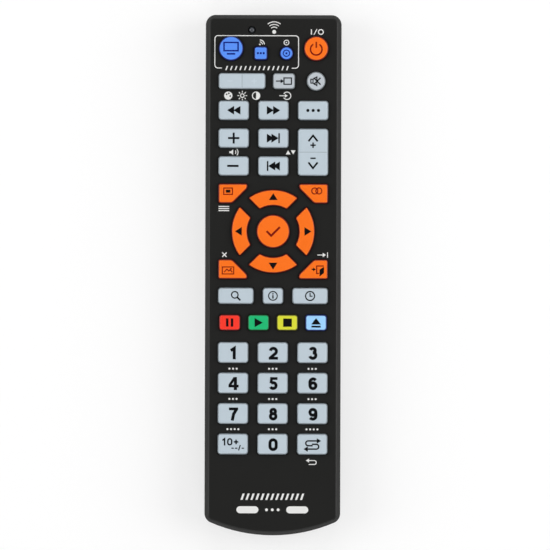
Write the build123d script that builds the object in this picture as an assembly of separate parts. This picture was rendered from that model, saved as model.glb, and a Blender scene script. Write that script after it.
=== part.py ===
from build123d import *

import os
from math import radians, sin, sqrt

# Universal remote control, lying on its back with the keys up.
# Origin: centre of the length and width, on the plane that the back rests on.
# +Y points to the infra-red window at the nose, +X to the right, +Z out of the key face.
# All lengths are millimetres.

# Clearances shared by the pieces
FIT = 0.1
RUN_GAP = 0.2
CUT = 1.0

# Case: a face moulding and a back moulding that meet at the parting plane
LENGTH = 216.0
WIDTH = 56.4
CORNER_R = 4.1
INNER_CORNER_R = 0.3
TAIL_R = 65.0
PARTING_Z = 11.0
SIDE_WALL = 2.0
FACE_WALL = 2.0
BACK_WALL = 2.0
SIDE_DRAFT = 0.25
BEVEL_H = 3.5
BEVEL_W = 1.3
FACE_EDGE_H = 0.3
FACE_EDGE_W = 0.5
BACK_DRAFT = 0.8
BACK_EDGE = 1.6
NOSE_RISE = 4.6
NOSE_SWEEP = 78.0
LIP_H = 1.5
LIP_T = 0.9
HOOK_L = 6.0
HOOK_H = 0.7
HOOK_BITE = 0.4
HOOK_LIFT = 0.5
NOSE_HOOK_X = 0.346 * WIDTH
SIDE_HOOK_SHARES = (0.25, -0.25)

# Keys: silicone caps that stand through the face, each with a flange under it and a foot
KEY_PROUD = 1.6
KEY_TRAVEL = 1.0
KEY_GAP = 0.25
KEY_EDGE = 0.35
KEY_CORNER_R = 1.3
CORNER_CUT_SHARES = (0.586, 0.215)
FLANGE_W = 0.8
FLANGE_T = 1.2
ROCKER_TILT = 4.0
ROCKER_FLANGE_T = 0.7

# Keypad mat and circuit board
MAT_T = 1.0
MAT_GAP = 0.2
BOARD_T = 1.2
BOARD_MARGIN = 0.6
BOARD_FROM_NOSE = 4.5
BOARD_CORNER = 1.5
BOARD_PAST_KEYS = 4.0
MAT_FROM_NOSE = 8.8
MAT_INSET = 2.8

# Battery bay with two AAA cells side by side, nubs pointing opposite ways
CELL_D = 10.5
CELL_L = 44.5
NUB_D = 3.8
NUB_L = 0.9
CELL_GAP = 0.15
CELL_SPACING = 0.5
BAY_SIDE_GAP = 0.35
BAY_WALL = 1.2
BAY_FROM_TAIL = 6.2
ROOF_T = 0.9
CONTACT_T = 0.4
CONTACT_H = 8.0
CONTACT_W = 8.4
CONTACT_TAB_W = 2.6
SPRING_L = 5.4
SPRING_R = 3.4
SPRING_CONE = 10.0
SPRING_WIRE = 0.5
SPRING_TURNS = 2.5
SPRING_POINT_COUNT = 60

# Battery cover that slides off over the tail
COVER_SINK = 0.15
COVER_T = 1.4
COVER_LEDGE = 4.2
COVER_OVERLAP = 4.6
TONGUE_W = 1.1
TONGUE_T = 0.6
TONGUE_FROM_TAIL = 9.0
DECK_T = 1.2
RAIL_WALL = 1.2
LATCH_W = 8.0
LATCH_L = 2.4
GRIP_FROM_END = 4.0
GRIP_W = 15.0
GRIP_L = 9.0
GRIP_DEPTH = 0.5
GRIP_RIDGES = 5
GRIP_RIDGE_T = 0.7

# Screws, their bosses, and the pins that place the board
SCREW_FROM_SIDE = 6.5
SCREW_FROM_TAIL = 17.0
SCREW_D = 2.2
SCREW_HEAD_D = 4.6
SCREW_HEAD_H = 1.8
SCREW_BITE = 5.0
DRIVE_W = 0.7
DRIVE_L = 2.8
DRIVE_DEPTH = 1.0
BOSS_D = 5.2
POST_WALL = 0.9
POST_SIDES = 12
SEAT_T = 4.0
REST_W = 1.8
REST_L = 5.0
REST_Y_SHARES = (0.38, 0.12, -0.16)

# Infra-red window in the nose and the parts behind it
WINDOW_W = 0.532 * WIDTH
WINDOW_H = 5.6
WINDOW_SINK = 0.25
WINDOW_EAR_W = 2.0
WINDOW_EAR_T = 1.0
EYE_D = 5.0
EYE_L = 8.6
EYE_X = 6.0
LEAD_T = 0.5
LEAD_PITCH = 2.54
LEAD_RUN = 2.2
EYE_GAP = 0.3

# Indicator lamp beside the device keys
LAMP_D = 3.0
LAMP_SINK = 0.3
LAMP_X = -0.16 * WIDTH
LAMP_FROM_NOSE = 6.6

# Parts soldered under the board, placed from the nose
CHIP_W = 7.5
CHIP_L = 10.3
CHIP_H = 2.3
CHIP_PIN_W = 0.5
CHIP_PIN_L = 1.4
CHIP_PIN_T = 0.3
CHIP_PINS = 8
CHIP_PIN_PITCH = 1.27
CHIP_FROM_NOSE = 52.0
CRYSTAL_W = 11.0
CRYSTAL_L = 4.6
CRYSTAL_H = 3.5
CRYSTAL_FROM_NOSE = 72.0
CAPACITOR_D = 6.3
CAPACITOR_H = 7.0
CAPACITOR_BASE_H = 1.2
CAPACITOR_X = 13.0
CAPACITOR_FROM_NOSE = 30.0

# Key sizes: across as shares of the width between the margins, along as shares of the rows' pitch
SIDE_MARGIN = 5.55
COLUMN_GAP = 3.9
ROW_GAP = 3.6
KEYS_W = WIDTH - 2 * SIDE_MARGIN
ROW_PITCH = 0.05324 * LENGTH
KEY_W = (KEYS_W - 2 * COLUMN_GAP) / 3
KEY_H = ROW_PITCH - ROW_GAP
DEVICE_D = 0.223 * KEYS_W
SMALL_W = 0.1214 * KEYS_W
SMALL_X = 0.117 * KEYS_W
SMALL_DROP = 0.174 * ROW_PITCH
SMALL_CORNER_R = 1.1
SOURCE_H = 0.565 * ROW_PITCH
PICTURE_W = 0.426 * KEYS_W
SOURCE_W = 0.201 * KEYS_W
SOURCE_GAP = 3.1
MUTE_D = 0.17 * KEYS_W
CORNER_W = 0.265 * KEYS_W
CORNER_H = 0.696 * ROW_PITCH
CORNER_NIB = 0.22 * CORNER_H
CORNER_FOOT = 0.48 * CORNER_W
CORNER_KEY_R = 0.5 * CORNER_NIB
CORNER_GAP = 2.97
RING_SLOT = 5.0
RING_CORNER_R = 0.7
RING_FLANGE_SIDES = 12
WIDE_W = 0.3225 * KEYS_W
WIDE_H = 0.574 * ROW_PITCH
INFO_W = 0.1855 * KEYS_W
COLOUR_W = 0.194 * KEYS_W
COLOUR_PITCH = 0.2627 * KEYS_W
COLOUR_H = 0.565 * ROW_PITCH
DIGIT_H = 0.739 * ROW_PITCH
DIGIT_NAMES = "one two three four five six seven eight nine tens zero return".split()

CHANNEL_H = ROW_PITCH + KEY_H

# Heights, stacked up from the back: cover, cell, bay roof, board, mat, key travel and flange, face
COVER_TOP = COVER_SINK + COVER_T
CELL_Z = COVER_TOP + CELL_GAP + CELL_D / 2
ROOF_Z = CELL_Z + CELL_D / 2 + CELL_GAP
BOARD_Z = ROOF_Z + ROOF_T
MAT_Z = BOARD_Z + BOARD_T
MAT_TOP = MAT_Z + MAT_T
FLANGE_Z = MAT_TOP + MAT_GAP + KEY_TRAVEL
FLANGE_TOP = FLANGE_Z + FLANGE_T
CEILING_Z = FLANGE_TOP + RUN_GAP
FACE_Z = CEILING_Z + FACE_WALL
KEY_TOP = FACE_Z + KEY_PROUD
ROCKER_RISE = (CHANNEL_H / 2 + FLANGE_W) * sin(radians(ROCKER_TILT))

# Places along the case
NOSE_Y = LENGTH / 2
TAIL_Y = -LENGTH / 2
BLOCK_HALF = KEYS_W / 2
COLUMN_X = KEY_W + COLUMN_GAP
DEVICE_Y = NOSE_Y - 1.2435 * ROW_PITCH
SOURCE_Y = DEVICE_Y - 1.174 * ROW_PITCH
PLAY_Y = SOURCE_Y - 1.052 * ROW_PITCH
PLUS_Y = PLAY_Y - ROW_PITCH
MINUS_Y = PLUS_Y - ROW_PITCH
CORNER_X = BLOCK_HALF - CORNER_W / 2
CORNER_RISE = 1.361 * ROW_PITCH
SLANT_TOP = (CORNER_X - CORNER_W / 2, CORNER_RISE + CORNER_H / 2 - CORNER_NIB)
SLANT_FOOT = (CORNER_X + CORNER_W / 2 - CORNER_FOOT, CORNER_RISE - CORNER_H / 2)
RING_R = Line(SLANT_TOP, SLANT_FOOT).distance_to((0, 0)) - CORNER_GAP
RING_BORE_R = 0.622 * RING_R
CENTRE_D = 0.797 * RING_R
MENU_Y = MINUS_Y - 0.987 * ROW_PITCH
RING_Y = MENU_Y - CORNER_RISE
EXIT_Y = RING_Y - CORNER_RISE
WIDE_Y = EXIT_Y - 0.957 * ROW_PITCH
COLOUR_Y = WIDE_Y - 0.961 * ROW_PITCH
DIGIT_Y = COLOUR_Y - 1.078 * ROW_PITCH
DIGIT_PITCH = 1.096 * ROW_PITCH
BOARD_END_Y = DIGIT_Y - 3 * DIGIT_PITCH - DIGIT_H / 2 - BOARD_PAST_KEYS
REST_YS = [share * LENGTH for share in REST_Y_SHARES]
SIDE_HOOK_YS = [share * LENGTH for share in SIDE_HOOK_SHARES]

# Battery bay and cover along the case
BAY_HALF_W = CELL_D + CELL_SPACING / 2 + BAY_SIDE_GAP
BAY_Y = TAIL_Y + BAY_FROM_TAIL
BAY_END_Y = BAY_Y + 2 * CONTACT_T + SPRING_L + CELL_L + 2 * FIT
CELL_X = (CELL_D + CELL_SPACING) / 2
COVER_HALF_W = BAY_HALF_W + COVER_LEDGE
COVER_END_Y = BAY_END_Y + COVER_OVERLAP
EYE_Z = BOARD_Z - EYE_D / 2 - RUN_GAP
LAMP_Y = NOSE_Y - LAMP_FROM_NOSE


def outline(inset, z):
    """The plan of the case drawn in by inset: square nose, straight sides, a bowed tail, round corners."""
    half = WIDTH / 2 - inset
    nose = NOSE_Y - inset
    tail = TAIL_Y + inset
    side_end = TAIL_Y + TAIL_R - sqrt((TAIL_R - inset) ** 2 - half**2)
    edge = Curve() + [
        Line((-half, side_end), (-half, nose)),
        Line((-half, nose), (half, nose)),
        Line((half, nose), (half, side_end)),
        ThreePointArc((half, side_end), (0, tail), (-half, side_end)),
    ]
    plan = make_face(edge)
    return Pos(0, 0, z) * fillet(plan.vertices(), max(CORNER_R - inset, INNER_CORNER_R))


def skin(levels):
    """A solid through the case's plan at each (height, inset), with straight walls between them."""
    return loft([outline(inset, z) for z, inset in levels], ruled=True)


def side_profile(lift):
    """All that lies above the back, whose nose end sweeps up in one tangent arc, raised by lift."""
    start = NOSE_Y - NOSE_SWEEP
    radius = (NOSE_SWEEP**2 + NOSE_RISE**2) / (2 * NOSE_RISE)
    reach = NOSE_SWEEP + CUT

    def on_arc(run):
        return (start + run, radius - sqrt((radius - lift) ** 2 - run**2))

    edge = Curve() + [
        Line((TAIL_Y - CUT, lift), (start, lift)),
        ThreePointArc(on_arc(0), on_arc(reach / 2), on_arc(reach)),
        Polyline(on_arc(reach), (NOSE_Y + CUT, FACE_Z), (TAIL_Y - CUT, FACE_Z), (TAIL_Y - CUT, lift)),
    ]
    return extrude(Plane.YZ * make_face(edge), amount=WIDTH / 2 + CUT, both=True)


def block(half_w, y_low, y_high, z_low, z_high):
    """A block centred on the middle of the case, between two places along it and two heights."""
    size = Box(2 * half_w, y_high - y_low, z_high - z_low, align=(Align.CENTER, Align.MIN, Align.MIN))
    return Pos(0, y_low, z_low) * size


def post(diameter, x, y, z_low, z_high):
    """An upright round post between two heights."""
    upright = Cylinder(diameter / 2, z_high - z_low, align=(Align.CENTER, Align.CENTER, Align.MIN))
    return Pos(x, y, z_low) * upright


def boss(diameter, x, y, z_low, z_high):
    """An upright moulded boss with flat sides, between two heights."""
    plan = RegularPolygon(diameter / 2, POST_SIDES, major_radius=False)
    return Pos(x, y, z_low) * extrude(plan, amount=z_high - z_low)


def both_sides(piece, x):
    """The piece and its copy on the other side of the middle."""
    return [Pos(-x, 0) * piece, Pos(x, 0) * piece]


# Key plans. Each gives a cap's outline grown by some distance, its opening's outline or its flange's.
def cut_corners(face, radius, passes):
    """The plan with its corners cut in small flats that follow a round of that radius."""
    for share in CORNER_CUT_SHARES[:passes]:
        face = chamfer(face.vertices(), share * radius)
    return face


def round_plan(diameter):
    def plan(grow, passes):
        return Circle(diameter / 2 + grow) if passes else Rectangle(diameter + 2 * grow, diameter + 2 * grow)

    return plan


def block_plan(width, height, corner=KEY_CORNER_R):
    def plan(grow, passes):
        return cut_corners(Rectangle(width + 2 * grow, height + 2 * grow), corner + grow, passes)

    return plan


def corner_plan(flip_x, flip_y):
    """A corner key beside the ring: a block with one corner cut away on a slant. Each flip is 1 or -1."""
    half_w, half_h = CORNER_W / 2, CORNER_H / 2
    points = [
        (half_w, half_h),
        (-half_w, half_h),
        (-half_w, half_h - CORNER_NIB),
        (half_w - CORNER_FOOT, -half_h),
        (half_w, -half_h),
    ]
    outer = make_face(Polyline([(flip_x * x, flip_y * y) for x, y in points], close=True))

    def plan(grow, passes):
        grown = offset(outer, grow, kind=Kind.INTERSECTION) if grow else outer
        return cut_corners(grown, CORNER_KEY_R + grow, passes)

    return plan


def ring_plan(turn):
    """One quarter of the ring round the centre key, turned by turn degrees. Its flange has straight sides."""
    far = 2 * RING_R

    def plan(grow, passes):
        notch = RING_SLOT / sqrt(2) - grow * sqrt(2)
        wedge = make_face(Polyline((0, notch), (far, notch + far), (-far, notch + far), close=True))
        band = Circle(RING_R + grow) - Circle(RING_BORE_R - grow)
        if not passes:
            band = RegularPolygon(RING_R + grow, RING_FLANGE_SIDES, major_radius=False)
            band -= RegularPolygon(RING_BORE_R - grow, RING_FLANGE_SIDES)
        quarter = (band & wedge).faces().sort_by(Axis.Y)[-1]
        return Rot(0, 0, turn) * cut_corners(quarter, RING_CORNER_R + grow, passes)

    return plan


def key_table():
    """Every key: its name, plan and place, and for a rocker the axis that it tips about."""
    plain = block_plan(KEY_W, KEY_H)
    digit = block_plan(KEY_W, DIGIT_H)
    wide = block_plan(WIDE_W, WIDE_H)
    colour = block_plan(COLOUR_W, COLOUR_H)
    small = block_plan(SMALL_W, SMALL_W, SMALL_CORNER_R)
    device_x = BLOCK_HALF - DEVICE_D / 2
    picture_x = PICTURE_W / 2 - BLOCK_HALF
    source_x = PICTURE_W - BLOCK_HALF + SOURCE_GAP + SOURCE_W / 2
    small_y = DEVICE_Y - SMALL_DROP
    wide_x = BLOCK_HALF - WIDE_W / 2
    colour_x = [(i - 3 / 2) * COLOUR_PITCH for i in range(4)]
    table = [
        ("tv_key", round_plan(DEVICE_D), -device_x, DEVICE_Y, None),
        ("satellite_key", small, -SMALL_X, small_y, None),
        ("disc_key", round_plan(SMALL_W), SMALL_X, small_y, None),
        ("power_key", round_plan(DEVICE_D), device_x, DEVICE_Y, None),
        ("picture_rocker", block_plan(PICTURE_W, SOURCE_H), picture_x, SOURCE_Y, Axis.Y),
        ("source_key", block_plan(SOURCE_W, SOURCE_H), source_x, SOURCE_Y, None),
        ("mute_key", round_plan(MUTE_D), device_x, SOURCE_Y, None),
        ("rewind_key", plain, -COLUMN_X, PLAY_Y, None),
        ("forward_key", plain, 0, PLAY_Y, None),
        ("mode_key", plain, COLUMN_X, PLAY_Y, None),
        ("volume_up_key", plain, -COLUMN_X, PLUS_Y, None),
        ("volume_down_key", plain, -COLUMN_X, MINUS_Y, None),
        ("next_key", plain, 0, PLUS_Y, None),
        ("previous_key", plain, 0, MINUS_Y, None),
        ("channel_rocker", block_plan(KEY_W, CHANNEL_H), COLUMN_X, (PLUS_Y + MINUS_Y) / 2, Axis.X),
        ("menu_key", corner_plan(-1, 1), -CORNER_X, MENU_Y, None),
        ("audio_key", corner_plan(1, 1), CORNER_X, MENU_Y, None),
        ("image_key", corner_plan(-1, -1), -CORNER_X, EXIT_Y, None),
        ("exit_key", corner_plan(1, -1), CORNER_X, EXIT_Y, None),
        ("up_key", ring_plan(0), 0, RING_Y, None),
        ("left_key", ring_plan(90), 0, RING_Y, None),
        ("down_key", ring_plan(180), 0, RING_Y, None),
        ("right_key", ring_plan(270), 0, RING_Y, None),
        ("centre_key", round_plan(CENTRE_D), 0, RING_Y, None),
        ("zoom_key", wide, -wide_x, WIDE_Y, None),
        ("info_key", block_plan(INFO_W, WIDE_H), 0, WIDE_Y, None),
        ("timer_key", wide, wide_x, WIDE_Y, None),
    ]
    for name, x in zip(("red", "green", "yellow", "blue"), colour_x):
        table.append((name + "_key", colour, x, COLOUR_Y, None))
    for i, name in enumerate(DIGIT_NAMES):
        row, column = divmod(i, 3)
        y = DIGIT_Y - row * DIGIT_PITCH
        table.append((name + "_key", digit, (column - 1) * COLUMN_X, y, None))
    return table


def key(plan, rocks):
    """A key: the cap that shows, and a wider flange under the face, which is lower where the key rocks."""
    top = FLANGE_TOP - (ROCKER_RISE if rocks else 0)
    low = top - (ROCKER_FLANGE_T if rocks else FLANGE_T)
    cap = extrude(Pos(0, 0, low) * plan(0, 2), amount=KEY_TOP - low)
    cap = chamfer(cap.faces().sort_by(Axis.Z)[-1].edges(), KEY_EDGE)
    return cap + extrude(Pos(0, 0, low) * plan(FLANGE_W, 0), amount=top - low)


def keys():
    """All keys in place, by name."""
    return {name: Pos(x, y) * key(plan, axis) for name, plan, x, y, axis in key_table()}


def window_opening():
    """The slot through the nose wall, shared by both mouldings."""
    half_h = WINDOW_H / 2 + FIT
    return block(WINDOW_W / 2 + FIT, NOSE_Y - BOARD_FROM_NOSE, NOSE_Y + CUT, EYE_Z - half_h, EYE_Z + half_h)


def screw_places():
    """The two case screws, one on each side of the battery bay."""
    x = WIDTH / 2 - SCREW_FROM_SIDE
    return [(-x, TAIL_Y + SCREW_FROM_TAIL), (x, TAIL_Y + SCREW_FROM_TAIL)]


def hooks(slack):
    """The snap hooks on the back's lip, or with slack the pockets for them in the face moulding."""
    inset = SIDE_WALL - LIP_T
    low = PARTING_Z + HOOK_LIFT - slack
    high = low + HOOK_H + 2 * slack
    ring = skin([(low, inset - HOOK_BITE - slack), (high, inset - slack)])
    ring -= skin([(low - CUT, SIDE_WALL - LIP_T / 2), (high + CUT, SIDE_WALL - LIP_T / 2)])
    half = HOOK_L / 2 + slack
    zones = both_sides(block(half, 0, NOSE_Y, low, high), NOSE_HOOK_X)
    zones += [block(WIDTH / 2, y - half, y + half, low, high) for y in SIDE_HOOK_YS]
    return [ring & zone for zone in zones]


def board_supports(z_low, z_high):
    """Pads along both sides, which hold the circuit board by its edges from above or below."""
    x = WIDTH / 2 - SIDE_WALL - BACK_DRAFT - REST_W / 2
    pads = []
    for y in REST_YS:
        pads += both_sides(block(REST_W / 2, y - REST_L / 2, y + REST_L / 2, z_low, z_high), x)
    return pads


def top_case():
    """The face moulding: bevelled rim, key openings, screw bosses and pads that clamp the board."""
    shoulder = FACE_Z - BEVEL_H
    edge_z = FACE_Z - FACE_EDGE_H
    rim = SIDE_DRAFT + BEVEL_W
    slope = BEVEL_W / BEVEL_H
    outer = skin([(PARTING_Z, 0), (shoulder, SIDE_DRAFT), (edge_z, rim), (FACE_Z, rim + FACE_EDGE_W)])
    inner_top = SIDE_DRAFT + slope * (CEILING_Z - shoulder) + SIDE_WALL
    inner = skin([(PARTING_Z - CUT, SIDE_WALL), (shoulder, SIDE_DRAFT + SIDE_WALL), (CEILING_Z, inner_top)])
    rebate = SIDE_WALL - LIP_T - FIT
    case = outer - inner - skin([(PARTING_Z - CUT, rebate), (PARTING_Z + LIP_H + FIT, rebate)])
    for pocket in hooks(FIT):
        case -= pocket
    for pad in board_supports(MAT_Z, CEILING_Z + FIT):
        case += pad
    for x, y in screw_places():
        case += boss(BOSS_D, x, y, PARTING_Z, CEILING_Z + FIT)
        case -= post(SCREW_D + FIT, x, y, PARTING_Z - CUT, PARTING_Z + SCREW_BITE + RUN_GAP)
    openings = Sketch() + [Pos(x, y) * plan(KEY_GAP, 1) for name, plan, x, y, axis in key_table()]
    case -= extrude(Pos(0, 0, CEILING_Z - CUT) * openings, amount=FACE_WALL + 2 * CUT)
    case -= post(LAMP_D + 2 * FIT, LAMP_X, LAMP_Y, CEILING_Z - CUT, FACE_Z + CUT)
    return case - window_opening()


def cover_space():
    """The slot that the battery cover slides in, with grooves for its tongues and a pocket for its latch."""
    tail = TAIL_Y - CUT
    end = COVER_END_Y + RUN_GAP
    top = COVER_TOP + CELL_GAP
    groove = COVER_TOP - TONGUE_T - CELL_GAP
    space = block(COVER_HALF_W + RUN_GAP, tail, end, -CUT, top)
    space += block(COVER_HALF_W + TONGUE_W + RUN_GAP, tail, end, groove, top)
    return space + block(LATCH_W / 2 + RUN_GAP, end - CUT, end + LATCH_L, groove, top)


def back_shape():
    """The outside of the back moulding, with its lower edge cut off all round."""
    shape = skin([(0, BACK_DRAFT), (PARTING_Z, 0)]) & side_profile(0)
    rims = [edge for edge in shape.edges() if edge.bounding_box().max.Z < NOSE_RISE + CUT]
    return chamfer(rims, BACK_EDGE)


def bottom_case(outer):
    """The back moulding: lip and hooks, screw posts, board rests, battery bay and the cover's rails."""
    inner = skin([(0, BACK_DRAFT + SIDE_WALL), (PARTING_Z + CUT, SIDE_WALL)]) & side_profile(BACK_WALL)
    lip_top = PARTING_Z + LIP_H
    lip = skin([(PARTING_Z - CUT, SIDE_WALL - LIP_T), (lip_top, SIDE_WALL - LIP_T)])
    lip -= skin([(PARTING_Z - 2 * CUT, SIDE_WALL), (lip_top + CUT, SIDE_WALL)])
    case = outer - inner + lip
    for hook in hooks(0):
        case += hook

    # The deck over the cover, the bay on it, and the cover's slot
    deck = COVER_TOP + CELL_GAP
    deck_half = COVER_HALF_W + TONGUE_W + RUN_GAP + RAIL_WALL
    deck_end = COVER_END_Y + LATCH_L + 2 * RUN_GAP + RAIL_WALL
    case += block(deck_half, TAIL_Y, deck_end, 0, deck + DECK_T) & outer
    case += block(BAY_HALF_W + BAY_WALL, BAY_Y - BAY_WALL, BAY_END_Y + BAY_WALL, deck, BOARD_Z)
    case -= block(BAY_HALF_W, BAY_Y, BAY_END_Y, -CUT, ROOF_Z)
    case -= cover_space()
    slot = block(CONTACT_TAB_W / 2 + FIT, BAY_END_Y - CONTACT_T - FIT, BAY_END_Y, ROOF_Z - CUT, BOARD_Z + CUT)
    for tab_slot in both_sides(slot, CELL_X):
        case -= tab_slot

    for rest in board_supports(0, BOARD_Z):
        case += rest & side_profile(BACK_WALL / 2)
    seat = PARTING_Z - SEAT_T
    head_hole = SCREW_HEAD_D + 2 * RUN_GAP
    for x, y in screw_places():
        upright = boss(head_hole + 2 * POST_WALL, x, y, 0, PARTING_Z - FIT)
        case += upright & (outer + block(WIDTH / 2, TAIL_Y, 0, seat, PARTING_Z))
        case -= post(SCREW_D + 2 * RUN_GAP, x, y, -CUT, PARTING_Z + CUT)
        case -= post(head_hole, x, y, -CUT, seat)
    return case - window_opening()


def battery_cover(outer):
    """The sliding cover: a plate cut to the case's outline, side tongues, a latch tongue and a ridged grip."""
    tongue_z = COVER_TOP - TONGUE_T
    plate = block(COVER_HALF_W, TAIL_Y, COVER_END_Y, COVER_SINK, COVER_TOP)
    plate += block(COVER_HALF_W + TONGUE_W, TAIL_Y + TONGUE_FROM_TAIL, COVER_END_Y, tongue_z, COVER_TOP)
    plate += block(LATCH_W / 2, COVER_END_Y - CUT, COVER_END_Y + LATCH_L, tongue_z, COVER_TOP)
    grip_y = COVER_END_Y - GRIP_FROM_END - GRIP_L
    plate -= block(GRIP_W / 2, grip_y, grip_y + GRIP_L, 0, COVER_SINK + GRIP_DEPTH)
    pitch = GRIP_L / (GRIP_RIDGES + 1)
    for i in range(GRIP_RIDGES):
        y = grip_y + (i + 1) * pitch
        plate += block(GRIP_W / 2, y - GRIP_RIDGE_T / 2, y + GRIP_RIDGE_T / 2, COVER_SINK, COVER_TOP)
    return plate & outer


def keypad_mat():
    """The silicone sheet under the keys, on the circuit board."""
    half = WIDTH / 2 - SIDE_WALL - MAT_INSET
    sheet = block(half, BOARD_END_Y, NOSE_Y - MAT_FROM_NOSE, MAT_Z, MAT_TOP)
    return chamfer(sheet.edges().filter_by(Axis.Z), BOARD_CORNER)


def circuit_board():
    """The circuit board, from behind the nose parts to just past the last row of keys."""
    half = WIDTH / 2 - SIDE_WALL - BOARD_MARGIN
    board = block(half, BOARD_END_Y, NOSE_Y - BOARD_FROM_NOSE, BOARD_Z, MAT_Z)
    return chamfer(board.edges().filter_by(Axis.Z), BOARD_CORNER)


def control_chip():
    """The control chip under the board, with gull-wing pins along both sides."""
    y = NOSE_Y - CHIP_FROM_NOSE
    top = BOARD_Z - CHIP_PIN_T / 2
    chip = block(CHIP_W / 2, y - CHIP_L / 2, y + CHIP_L / 2, top - CHIP_H, top)
    pin_top = BOARD_Z
    reach = CHIP_W / 2 + CHIP_PIN_L
    knee = CHIP_W / 2 + CHIP_PIN_T
    for i in range(CHIP_PINS):
        pin_y = y + (i - (CHIP_PINS - 1) / 2) * CHIP_PIN_PITCH
        low, high = pin_y - CHIP_PIN_W / 2, pin_y + CHIP_PIN_W / 2
        chip += block(knee, low, high, top - CHIP_H / 2, pin_top)
        chip += block(reach, low, high, pin_top - CHIP_PIN_T, pin_top)
    return chip


def side_box(x_low, x_high, y_low, y_high, z_low, z_high):
    """A block between two places along each axis."""
    return Pos((x_low + x_high) / 2, 0) * block((x_high - x_low) / 2, y_low, y_high, z_low, z_high)


def crystal():
    """The quartz crystal can under the board."""
    y = NOSE_Y - CRYSTAL_FROM_NOSE
    can = extrude(Pos(0, y, BOARD_Z) * SlotOverall(CRYSTAL_W, CRYSTAL_L), amount=-CRYSTAL_H)
    return can


def capacitor():
    """The electrolytic capacitor under the board, on its square base."""
    y = NOSE_Y - CAPACITOR_FROM_NOSE
    half = CAPACITOR_D / 2
    base = Pos(CAPACITOR_X, 0) * block(half, y - half, y + half, BOARD_Z - CAPACITOR_BASE_H, BOARD_Z)
    return base + post(CAPACITOR_D, CAPACITOR_X, y, BOARD_Z - CAPACITOR_H, BOARD_Z)


def eye(x):
    """An infra-red emitter or sensor: a lens that looks out of the nose, with two leads up to the board."""
    tip = NOSE_Y - BOARD_FROM_NOSE - EYE_GAP
    back = tip - EYE_L
    place = Pos(x, back, EYE_Z) * Rot(-90, 0, 0)
    body = place * Cylinder(EYE_D / 2, EYE_L, align=(Align.CENTER, Align.CENTER, Align.MIN))
    for side in (-1, 1):
        low = x + side * LEAD_PITCH / 2 - LEAD_T / 2
        body += side_box(low, low + LEAD_T, back - LEAD_RUN, back, EYE_Z - LEAD_T / 2, EYE_Z + LEAD_T / 2)
        body += side_box(low, low + LEAD_T, back - LEAD_RUN, back - LEAD_RUN + LEAD_T, EYE_Z, BOARD_Z)
    return body


def indicator_led():
    """The indicator lamp, standing on the board and ending just inside its hole in the face."""
    tip = FACE_Z - LAMP_SINK
    lamp = post(LAMP_D, LAMP_X, LAMP_Y, MAT_Z, tip)
    return chamfer(lamp.edges().sort_by(Axis.Z)[-1], LAMP_D / 5)


def ir_window():
    """The dark window in the nose, with an ear behind the wall at each end."""
    back = NOSE_Y - SIDE_WALL - BACK_DRAFT - WINDOW_EAR_T
    low, high = EYE_Z - WINDOW_H / 2, EYE_Z + WINDOW_H / 2
    pane = block(WINDOW_W / 2, back, NOSE_Y - WINDOW_SINK, low, high)
    return pane + block(WINDOW_W / 2 + WINDOW_EAR_W, back, back + WINDOW_EAR_T, low, high)


def aaa_cells():
    """Two AAA cells side by side, one with its nub to the nose and the other with its nub to the tail."""
    case = Cylinder(CELL_D / 2, CELL_L - NUB_L, align=(Align.CENTER, Align.CENTER, Align.MIN))
    cell = case + Cylinder(NUB_D / 2, CELL_L, align=(Align.CENTER, Align.CENTER, Align.MIN))
    near = BAY_Y + CONTACT_T + SPRING_L + FIT
    far = BAY_END_Y - CONTACT_T - SPRING_L - FIT
    left = Pos(-CELL_X, near, CELL_Z) * Rot(-90, 0, 0) * cell
    right = Pos(CELL_X, far, CELL_Z) * Rot(90, 0, 0) * cell
    return Compound([left, right])


def least_gap(path):
    """The least clear space between turns of a spring that are half a turn or more apart, on points."""
    count = SPRING_POINT_COUNT
    points = [path @ (i / count) for i in range(count + 1)]
    half_turn = round(count / SPRING_TURNS / 2)
    pairs = [(a, b) for i, a in enumerate(points) for b in points[i + half_turn :]]
    return min((b - a).length for a, b in pairs) - SPRING_WIRE


def spring():
    """A conical contact spring of square wire, standing on the origin and narrowing upwards."""
    rise = SPRING_L - SPRING_WIRE
    path = Helix(rise / SPRING_TURNS, rise, SPRING_R, cone_angle=-SPRING_CONE)
    print("least gap between spring turns, mm:", round(least_gap(path), 2))
    section = Plane(origin=path @ 0, z_dir=path % 0) * Rectangle(SPRING_WIRE, SPRING_WIRE)
    return sweep(section, path=path, is_frenet=True)


def contact_plate(x_low, x_high, y):
    """A contact's plate, standing across the bay from y towards the nose."""
    low = CELL_Z - CONTACT_H / 2
    return side_box(x_low, x_high, y, y + CONTACT_T, low, low + CONTACT_H)


def contacts():
    """The bridge at the tail end, and the negative and positive contacts with their tabs up to the board."""
    half = CONTACT_W / 2
    tail, nose = BAY_Y, BAY_END_Y - CONTACT_T
    coil = spring()
    bridge = contact_plate(-CELL_X - half, CELL_X + half, tail)
    bridge += Pos(-CELL_X, tail + CONTACT_T, CELL_Z) * Rot(-90, 0, 0) * coil
    made = {"bridge_contact": bridge}
    for name, x in (("positive_contact", -CELL_X), ("negative_contact", CELL_X)):
        plate = contact_plate(x - half, x + half, nose)
        low = x - CONTACT_TAB_W / 2
        plate += side_box(low, low + CONTACT_TAB_W, nose, nose + CONTACT_T, CELL_Z, BOARD_Z)
        made[name] = plate
    made["negative_contact"] += Pos(CELL_X, nose, CELL_Z) * Rot(90, 0, 0) * coil
    return made


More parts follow.
